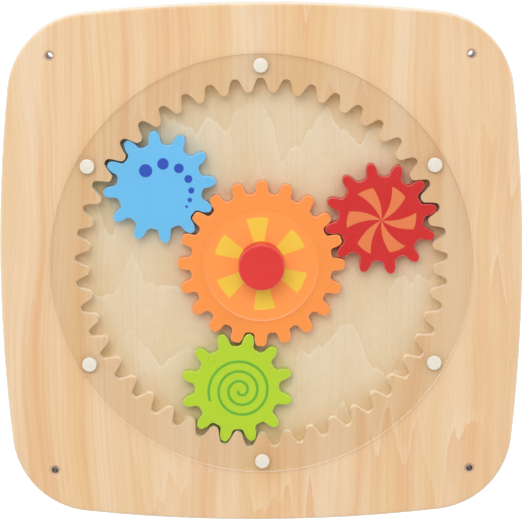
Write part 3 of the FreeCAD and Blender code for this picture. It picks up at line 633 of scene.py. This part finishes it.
class Teeth:
    """A form of involute teeth with rounded tips and roots; heights, rounds and easings in modules.

    The head is made fuller and the foot hollower than the involute by their easings.
    """

    def __init__(self, count, shift, addendum, dedendum, tip_round, root_round, fuller, hollower):
        self.count = count
        self.fuller = fuller * MODULE
        self.hollower = hollower * MODULE
        pitch_radius = count * MODULE / 2
        self.base = pitch_radius * math.cos(PRESSURE)
        self.half = (math.pi / 2 + 2 * shift * math.tan(PRESSURE)) / count
        self.half += self.unroll(self.base * math.tan(PRESSURE))
        self.tip = pitch_radius + addendum * MODULE
        self.root = pitch_radius - dedendum * MODULE
        self.tip_round = tip_round * MODULE
        self.root_round = root_round * MODULE

    def unroll(self, length):
        """Polar angle gained by a taut string of this length coming off the base circle."""
        return length / self.base - math.atan(length / self.base)

    def round_centre(self, radius, offset):
        """A round's centre, which lies on an involute set off from the flank; with its string's length."""
        length = math.sqrt(radius ** 2 - self.base ** 2)
        return cmath.rect(radius, self.half + offset / self.base - self.unroll(length)), length

    def side(self, inset):
        """Points from the middle of a tooth to the middle of a space, drawn in by the inset."""
        tip_centre, tip_length = self.round_centre(self.tip - self.tip_round, self.fuller - self.tip_round)
        root_centre, root_length = self.round_centre(self.root + self.root_round,
                                                     self.root_round - self.hollower)
        head = tip_length + self.tip_round - inset
        foot = root_length - self.root_round - inset

        def flank(share):
            length = head + (foot - head) * share
            eased = share * share * (3 - 2 * share)
            offset = self.fuller * (1 - eased) - self.hollower * eased - inset
            angle = self.half + offset / self.base - self.unroll(length)
            return cmath.rect(math.hypot(self.base, length), angle)

        def arc(centre, first, last, steps):
            start, sweep = first - centre, cmath.phase((last - centre) / (first - centre))
            return [centre + start * cmath.rect(1, sweep * k / steps) for k in range(steps)]

        crest = cmath.rect(self.tip - inset, cmath.phase(tip_centre))
        valley = cmath.rect(self.root - inset, cmath.phase(root_centre))
        middle = cmath.rect(self.root - inset, math.pi / self.count)
        points = arc(0, complex(self.tip - inset), crest, LAND_POINTS)
        points += arc(tip_centre, crest, flank(0), ROUND_POINTS)
        points += [flank(k / FLANK_POINTS) for k in range(FLANK_POINTS)]
        points += arc(root_centre, flank(1), valley, ROUND_POINTS)
        points += arc(0, valley, middle, LAND_POINTS)
        return points + [middle]

    def outline(self, inset):
        """One tooth with half a space on either side."""
        side = self.side(inset)
        return [point.conjugate() for point in side[:0:-1]] + side

    def ring(self, radius):
        """A circle's share under one tooth, with as many points as the outline."""
        return [cmath.rect(radius, cmath.phase(point)) for point in self.outline(0.0)]

    def rows(self, back, front):
        """The outline from the gear's back to its face, over the rounded front edge."""
        edge = EDGE_ROUND * MM
        rows = [(self.outline(0.0), back)]
        for k in range(ROUND_STEPS + 1):
            lean = math.pi / 2 * k / ROUND_STEPS
            rows.append((self.outline(edge * (1 - math.cos(lean))), front - edge * (1 - math.sin(lean))))
        return rows


SUN_TEETH = Teeth(count=20, shift=-0.18, addendum=0.6667, dedendum=1.0, tip_round=0.4667,
                  root_round=0.5333, fuller=0.06, hollower=0.0)
PLANET_TEETH = Teeth(count=12, shift=0.33, addendum=1.2, dedendum=0.5667, tip_round=0.5333,
                     root_round=0.5833, fuller=0.0, hollower=0.16)


def resting_turn(node, count):
    """How far a CAD gear stands turned, from where its tooth tips are."""
    centre = centre_of(node)
    arms = [complex(corner.co.x, corner.co.z) - centre for corner in nodes[node].data.vertices]
    reach = max(abs(arm) for arm in arms)
    tips = [cmath.rect(1, count * cmath.phase(arm)) for arm in arms if abs(arm) > reach - TIP_BAND]
    return cmath.phase(sum(tips)) / count


def cut_gear(name, node, teeth, rows, paint, body, slot):
    """Make a gear from one tooth's share, repeated round the axis, and put it in its CAD node's place."""
    layout = Layout(f"{name}_teeth", paint, Teeth=teeth.count)
    layout.close(layout.round_the_axis(layout.given["Teeth"], layout.given["Geometry"]))
    share = bpy.data.meshes.new(f"{name}_share")
    skin = through_rows([[at_depth(point, depth) for point in points] for points, depth in rows])
    skin.to_mesh(share)
    skin.free()
    gear = layout.make(name, share)
    to_place(gear, centre_of(node), 0.0, resting_turn(node, teeth.count))
    finish_piece(gear, body, slot, node)


def finish_piece(piece, body, slot, *replaced):
    """Put a piece on its body, in the place of the CAD nodes it stands for; the slot it is given is not used.
    """
    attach(piece, body)
    if replaced:
        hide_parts(*replaced)


def sun_gear():
    """The driven gear, bored for the sleeve."""
    bore = SUN_TEETH.ring(SLEEVE_HOLE)
    rows = [(bore, gear_back), *SUN_TEETH.rows(gear_back, gear_face), (bore, gear_face), (bore, gear_back)]
    paint = lacquer("orange_lacquer", ORANGE, gear_face, EDGE_ROUND, 3.0, 0.22)
    cut_gear("sun_gear", "drive_gear", SUN_TEETH, rows, paint, "drive", "orange_paint")


def planet_gear(colour, paint):
    """A loose gear, with the slip washer's pocket in its back."""
    axis = PLANET_TEETH.ring(0.0)
    pocket = PLANET_TEETH.ring(POCKET_RADIUS)
    floor = gear_back + POCKET_DEPTH
    rows = [(axis, floor), (pocket, floor), (pocket, gear_back), *PLANET_TEETH.rows(gear_back, gear_face),
            (axis, gear_face)]
    cut_gear(f"{colour}_planet_gear", f"{colour}_gear", PLANET_TEETH, rows, paint,
             f"{colour}_planet", f"{colour}_paint")


sun_gear()
planet_gear("red", lacquer("red_lacquer", RED, gear_face, EDGE_ROUND, 13.0))
planet_gear("blue", lacquer("blue_lacquer", SKY, gear_face, EDGE_ROUND, 23.0))
planet_gear("green", lacquer("green_lacquer", LIME, gear_face, EDGE_ROUND, 33.0))


# ------------------------------------------------------------------------- the prints on the gears

FILM = 0.05 * MM


def fan_layout(name, ink, blades, hub, rim, width, start, twist, slant):
    """Blades round a hub: each is a sector that may twist with the radius and end on a slant."""
    layout = Layout(name, ink, Blades=blades, Hub=hub, Rim=rim, Width=width, Start=start, Twist=twist,
                    Slant=slant, Film=FILM)
    given = layout.given
    grid = layout.add("GeometryNodeMeshGrid", {"Size X": 1.0, "Size Y": 1.0, "Vertices X": 9,
                                               "Vertices Y": 25}).outputs[0]
    spot = layout.apart(layout.add("GeometryNodeInputPosition").outputs[0])
    side = spot[0]
    out = layout.math("ADD", spot[1], 0.5)
    reach = layout.math("MULTIPLY_ADD", layout.math("MULTIPLY", side, given["Slant"]), given["Rim"],
                        given["Rim"])
    radius = layout.math("MULTIPLY_ADD", out, layout.math("SUBTRACT", reach, given["Hub"]), given["Hub"])
    angle = layout.math("MULTIPLY_ADD", side, given["Width"], given["Start"])
    angle = layout.math("MULTIPLY_ADD", out, given["Twist"], angle)
    blade = layout.thickened(layout.moved(grid, layout.polar(radius, angle)), given["Film"])
    layout.close(layout.round_the_axis(given["Blades"], blade))
    return layout


def dots_layout(name, ink, count, ring, start, first_step, step_fall, large, small):
    """Dots along an arc that shrink and draw together."""
    layout = Layout(name, ink, Count=count, Ring=ring, Start=start, FirstStep=first_step,
                    StepFall=step_fall, Large=large, Small=small, Film=FILM)
    given = layout.given
    number = layout.index()
    before = layout.math("SUBTRACT", number, 1.0)
    pairs = layout.math("MULTIPLY", layout.math("MULTIPLY", number, before), 0.5)
    angle = layout.math("SUBTRACT", given["Start"], layout.math("MULTIPLY", number, given["FirstStep"]))
    angle = layout.math("MULTIPLY_ADD", pairs, given["StepFall"], angle)
    points = layout.moved(layout.points(given["Count"]), layout.polar(given["Ring"], angle))
    share = layout.math("DIVIDE", number, layout.math("SUBTRACT", given["Count"], 1.0))
    radius = layout.math("MULTIPLY_ADD", share, layout.math("SUBTRACT", given["Small"], given["Large"]),
                         given["Large"])
    dot = layout.add("GeometryNodeMeshCircle", {"Vertices": 64, "Radius": 1.0}, fill_type="NGON").outputs[0]
    upright = layout.add("GeometryNodeTransform", {"Geometry": dot,
                                                   "Rotation": (math.pi / 2, 0.0, 0.0)}).outputs[0]
    disc = layout.thickened(upright, given["Film"])
    layout.close(layout.placed(points, disc, scale=layout.together(radius, 1.0, radius)))
    return layout


def spiral_layout(name, ink, turns, window_wall, outer, line):
    """A flat line wound outwards evenly, with square ends."""
    layout = Layout(name, ink, Turns=turns, Inner=window_wall, Outer=outer, Line=line, Film=FILM)
    given = layout.given
    wound = layout.add("GeometryNodeCurveSpiral", {"Resolution": 96, "Rotations": given["Turns"],
                                                   "Start Radius": given["Inner"],
                                                   "End Radius": given["Outer"], "Height": 0.0,
                                                   "Reverse": True}).outputs[0]
    wound = layout.add("GeometryNodeSetCurveNormal", {"Curve": wound}, mode="Z_UP").outputs[0]
    section = layout.add("GeometryNodeCurvePrimitiveQuadrilateral",
                         {"Width": given["Line"], "Height": given["Film"]}).outputs[0]
    ribbon = layout.add("GeometryNodeCurveToMesh", {"Curve": wound, "Profile Curve": section,
                                                    "Fill Caps": True}).outputs[0]
    upright = layout.add("GeometryNodeTransform", {"Geometry": ribbon,
                                                   "Rotation": (math.pi / 2, 0.0, 0.0)}).outputs[0]
    layout.close(upright)
    return layout


rays = fan_layout("ray_fan", print_ink("yellow_ink", YELLOW, 3.0, 0.22),
                  blades=6, hub=17.0 * MM, rim=35.8 * MM, width=27.4 * DEGREE, start=94.3 * DEGREE,
                  twist=0.0, slant=0.0)
ray_print = to_place(rays.make("ray_print"), complex(-0.4, 0.3) * MM, gear_face)
finish_piece(ray_print, "drive", "orange_paint")

swirl = fan_layout("swirl_fan", print_ink("salmon_ink", SALMON, 13.0),
                   blades=6, hub=0.15 * MM, rim=26.3 * MM, width=28.0 * DEGREE, start=-21.6 * DEGREE,
                   twist=20.0 * DEGREE, slant=0.06)
swirl_print = to_place(swirl.make("swirl_print"), centre_of("red_gear") + complex(0.4, -1.0) * MM, gear_face)
finish_piece(swirl_print, "red_planet", "red_paint")

dots = dots_layout("dot_arc", print_ink("blue_ink", INK_BLUE, 23.0),
                   count=7, ring=20.9 * MM, start=131.2 * DEGREE, first_step=39.8 * DEGREE,
                   step_fall=4.86 * DEGREE, large=5.05 * MM, small=1.05 * MM)
dot_print = to_place(dots.make("dot_print"), centre_of("blue_gear") + complex(3.3, -3.1) * MM, gear_face)
finish_piece(dot_print, "blue_planet", "blue_paint")

SPIRAL_TURNS = 3.054
SPIRAL_START = 1.5 * MM
SPIRAL_PITCH = 7.66 * MM
spiral = spiral_layout("spiral_line", print_ink("green_ink", LEAF, 33.0), turns=SPIRAL_TURNS,
                       window_wall=SPIRAL_START, outer=SPIRAL_START + SPIRAL_TURNS * SPIRAL_PITCH, line=2.0 * MM)
spiral_print = to_place(spiral.make("spiral_print"), centre_of("green_gear") + complex(2.7, -2.0) * MM,
                        gear_face + FILM / 2, math.pi)
finish_piece(spiral_print, "green_planet", "green_paint")


# ----------------------------------------------------------------------------- the clear cover

# it stands off the wood and the caps by a hair, so that no two faces share a plane
LIFT = 0.04 * MM
COVER_CHAMFER = 0.4 * MM


def is_front_rim(edge):
    """Whether an edge lies between a sheet's front face and a face cut square to it."""
    facings = sorted(face.normal.y for face in edge.link_faces)
    return len(facings) == 2 and facings[0] < -0.999 and abs(facings[1]) < 0.05


def clear_cover():
    """The CAD disc, lifted a hair off its neighbours, with a polished chamfer round its front rims."""
    back, front = depth_of("cover_disc")
    body = bmesh.new()
    body.from_mesh(nodes["cover_disc"].data)
    bmesh.ops.remove_doubles(body, verts=body.verts, dist=1e-6)
    for corner in body.verts:
        if abs(corner.co.y + back) < LIFT / 4:
            corner.co.y -= LIFT
        elif abs(corner.co.y + front) < LIFT / 4:
            corner.co.y += LIFT / 2
    body.normal_update()
    rim = [edge for edge in body.edges if is_front_rim(edge)]
    bmesh.ops.bevel(body, geom=rim, offset=COVER_CHAMFER, segments=1, profile=0.5, affect="EDGES",
                    clamp_overlap=True)
    body.normal_update()
    for face in body.faces:
        face.smooth = abs(face.normal.y) < 0.999
        face.material_index = 1 if abs(face.normal.y) < 0.9 else 0
    mesh = bpy.data.meshes.new("clear_cover")
    body.to_mesh(mesh)
    body.free()
    cover = new_piece("clear_cover", mesh, clear_sheet("clear_acrylic"), cut_edge("cut_edge"))
    finish_piece(cover, "board", "clear_acrylic", "cover_disc")


clear_cover()


# ------------------------------------------------------------------------ the hardware on the back

CIRCLE_STEPS = 48
SCREWS = [f"board_screw_{number}" for number in range(1, 9)]
SCREW_HEAD_HEIGHT = 2.4 * MM
SCREW_SHANK = 1.75 * MM
BOLT_SHANK = 3.0 * MM
BOLT_END_CHAMFER = 0.5 * MM


def circle(radius):
    """A closed circle of points; its last point repeats the first."""
    return [cmath.rect(radius, 2 * math.pi * k / CIRCLE_STEPS) for k in range(CIRCLE_STEPS + 1)]


def turned(*rows):
    """A lathe-turned skin through circles of (radius, depth)."""
    return through_rows([[at_depth(point, depth) for point in circle(radius)] for radius, depth in rows])


def cross_head(radius, seat, top, shank, tip):
    """A pan head with a cross recess, on a plain shank that ends in a point; its top faces the wall."""
    body = turned((0.0, tip), (shank * 0.55, tip - shank * 1.2), (shank, tip - shank * 2.6),
                  (shank, seat), (radius, seat), (radius, top + radius * 0.22),
                  (radius * 0.96, top + radius * 0.09), (radius * 0.84, top))
    arm, width, depth = radius * 0.56, radius * 0.12, radius * 0.42
    corner = [complex(arm, width), complex(width, width), complex(width, arm)]
    cross = [point * 1j ** quarter for quarter in range(4) for point in corner]
    rim = [body.verts.new(at_depth(point, top)) for point in circle(radius * 0.84)[:-1]]
    mouth = [body.verts.new(at_depth(point, top)) for point in cross]
    floor = [body.verts.new(at_depth(point * 0.8, top + depth)) for point in cross]
    loops = [body.edges.new((loop[k - 1], loop[k])) for loop in (rim, mouth) for k in range(len(loop))]
    bmesh.ops.triangle_fill(body, edges=loops, use_beauty=True)
    for k in range(len(cross)):
        body.faces.new((mouth[k - 1], mouth[k], floor[k], floor[k - 1]))
    body.faces.new(floor)
    return body


def board_screws():
    """The eight screws that hold the board together, in pairs beside the corners."""
    low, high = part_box("board_screw_1")
    head = (high.x - low.x) / 2
    top, tip = depth_of(SCREWS[0])
    places = [centre_of(screw) for screw in SCREWS]
    first = min(cmath.phase(spot) for spot in places if spot.real > 0 and spot.imag > 0)
    layout = Layout("board_screw_layout", steel, Count=len(SCREWS), Ring=abs(places[0]), First=first)
    given = layout.given
    number = layout.index()
    quarter = layout.math("MULTIPLY", layout.math("FLOOR", layout.math("MULTIPLY", number, 0.5)), math.pi / 2)
    flip = layout.math("MODULO", number, 2.0)
    wide = layout.math("MULTIPLY", given["First"], -2.0)
    step = layout.math("MULTIPLY", flip, layout.math("ADD", wide, math.pi / 2))
    angle = layout.math("ADD", layout.math("ADD", quarter, given["First"]), step)
    points = layout.moved(layout.points(given["Count"]), layout.polar(given["Ring"], angle))
    layout.close(layout.placed(points, given["Geometry"]))
    start = bpy.data.meshes.new("board_screw")
    body = cross_head(head, top + SCREW_HEAD_HEIGHT, top, SCREW_SHANK, tip)
    close_up(body, start)
    screws = to_place(layout.make("board_screws", start), 0j, 0.0)
    finish_piece(screws, "board", "zinc_steel", *SCREWS)


def hex_bolt():
    """The spindle bolt: a chamfered six-sided head towards the wall and a plain shank."""
    low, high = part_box("spindle_bolt")
    top, tip = depth_of("spindle_bolt")
    corner = (high.x - low.x) / 2
    flat = corner * math.cos(math.pi / 6)
    seat = depth_of("rear_washer")[0]

    def six_sided(point):
        side = (cmath.phase(point) + 4 * math.pi) % (math.pi / 3) - math.pi / 6
        return cmath.rect(flat / math.cos(side), cmath.phase(point))

    hexagon = [six_sided(point) for point in circle(1.0)]
    ring = flat * 0.93
    chamfer = [at_depth(point, top + (abs(point) - ring) * math.tan(math.pi / 6)) for point in hexagon]
    rows = [[at_depth(0j, top)] * len(hexagon), [at_depth(point, top) for point in circle(ring)], chamfer,
            [at_depth(point, seat) for point in hexagon]]
    for radius, depth in ((BOLT_SHANK, seat), (BOLT_SHANK, tip - BOLT_END_CHAMFER),
                          (BOLT_SHANK - BOLT_END_CHAMFER, tip), (0.0, tip)):
        rows.append([at_depth(point, depth) for point in circle(radius)])
    mesh = bpy.data.meshes.new("hex_bolt")
    close_up(through_rows(rows), mesh)
    finish_piece(new_piece("hex_bolt", mesh, steel), "board", "zinc_steel", "spindle_bolt")


board_screws()
hex_bolt()


# ---------------------------------------------------------------------------------- the camera

AZIMUTH = 0.247 * DEGREE
ELEVATION = 8.135 * DEGREE
ROLL = -0.245 * DEGREE
DISTANCE = 2.2734
LENS = 202.07
SENSOR = 36.0
SHIFT = (0.0005, -0.0021)


def aim_camera():
    """Look at the middle of the board from a little above."""
    forward = Vector((math.sin(AZIMUTH) * math.cos(ELEVATION), math.cos(AZIMUTH) * math.cos(ELEVATION),
                      -math.sin(ELEVATION)))
    right = Vector((math.cos(AZIMUTH), -math.sin(AZIMUTH), 0.0))
    up = right.cross(forward)
    across = right * math.cos(ROLL) + up * math.sin(ROLL)
    upright = up * math.cos(ROLL) - right * math.sin(ROLL)
    camera = bpy.data.objects.new("camera", bpy.data.cameras.new("camera"))
    scene.collection.objects.link(camera)
    turn = Matrix((across, upright, -forward)).transposed().to_4x4()
    camera.matrix_world = Matrix.Translation(forward * -DISTANCE) @ turn
    camera.data.lens = LENS
    camera.data.sensor_width = SENSOR
    camera.data.shift_x, camera.data.shift_y = SHIFT
    camera.data.clip_end = 100.0
    scene.camera = camera


aim_camera()


# ----------------------------------------------------------------------------------- the studio

FLOOR_SIZE = 60.0
FLOOR_GAP = 0.5 * MM
KEY_SPOT = Vector((-0.55, -2.9, 1.6))
KEY_SIZE = 2.0
KEY_POWER = 35.0
SKY_LOW = 1.165
SKY_HIGH = 1.39
# the dark part of the room behind the camera, which a flat upright sheet mirrors
DARK_WAY = Vector((0.0, -math.cos(8 * DEGREE), -math.sin(8 * DEGREE)))
DARK_INNER = 14 * DEGREE
DARK_OUTER = 38 * DEGREE


def pale_floor():
    """A pale floor that the board's bottom edge stands on."""
    finish = Finish("pale_floor")
    cloud = finish.noise((900.0, 900.0, 900.0), 2.0, 0.5, 1.0)
    colour = finish.blend(cloud, opaque(0.93, 0.93, 0.93), opaque(0.90, 0.90, 0.90))
    finish.surface(colour, 0.8, Emission_Color=opaque(1.0, 1.0, 1.0), Emission_Strength=0.85)
    mesh = bpy.data.meshes.new("floor")
    half = FLOOR_SIZE / 2
    level = cad_box[0].z - FLOOR_GAP
    corners = [(-half, -half, level), (half, -half, level), (half, half, level), (-half, half, level)]
    mesh.from_pydata(corners, [], [(0, 1, 2, 3)])
    mesh.materials.append(finish.material)
    floor = bpy.data.objects.new("floor", mesh)
    scene.collection.objects.link(floor)
    floor.visible_diffuse = False
    floor.visible_glossy = False


def soft_sky():
    """Even light from all round, a little stronger from above, with the dark room behind the camera."""
    world = bpy.data.worlds.new("studio")
    world.use_nodes = True
    sky = Graph(world.node_tree)
    world.node_tree.nodes.clear()
    way = sky.add("ShaderNodeTexCoord").outputs["Generated"]
    even = sky.spread(sky.apart(way)[2], -0.6, 0.8, SKY_LOW, SKY_HIGH)
    near = sky.add("ShaderNodeVectorMath", {0: way, 1: DARK_WAY}, operation="DOT_PRODUCT").outputs["Value"]
    dark = sky.spread(near, math.cos(DARK_OUTER), math.cos(DARK_INNER), 1.0, 0.08)
    strength = sky.math("MULTIPLY", even, dark)
    background = sky.add("ShaderNodeBackground", {"Color": opaque(1.0, 1.0, 1.0), "Strength": strength})
    sky.feed(sky.add("ShaderNodeOutputWorld").inputs["Surface"], background.outputs[0])
    scene.world = world


def key_lamp():
    """A large soft lamp above and in front of the board."""
    lamp = bpy.data.lights.new("key", "AREA")
    lamp.shape = "DISK"
    lamp.size = KEY_SIZE
    lamp.energy = KEY_POWER
    lamp.color = (1.0, 0.985, 0.96)
    holder = bpy.data.objects.new("key", lamp)
    holder.location = KEY_SPOT
    holder.rotation_mode = "QUATERNION"
    holder.rotation_quaternion = (-KEY_SPOT).to_track_quat("-Z", "Y")
    scene.collection.objects.link(holder)


pale_floor()
soft_sky()
key_lamp()
scene.view_settings.view_transform = "Standard"
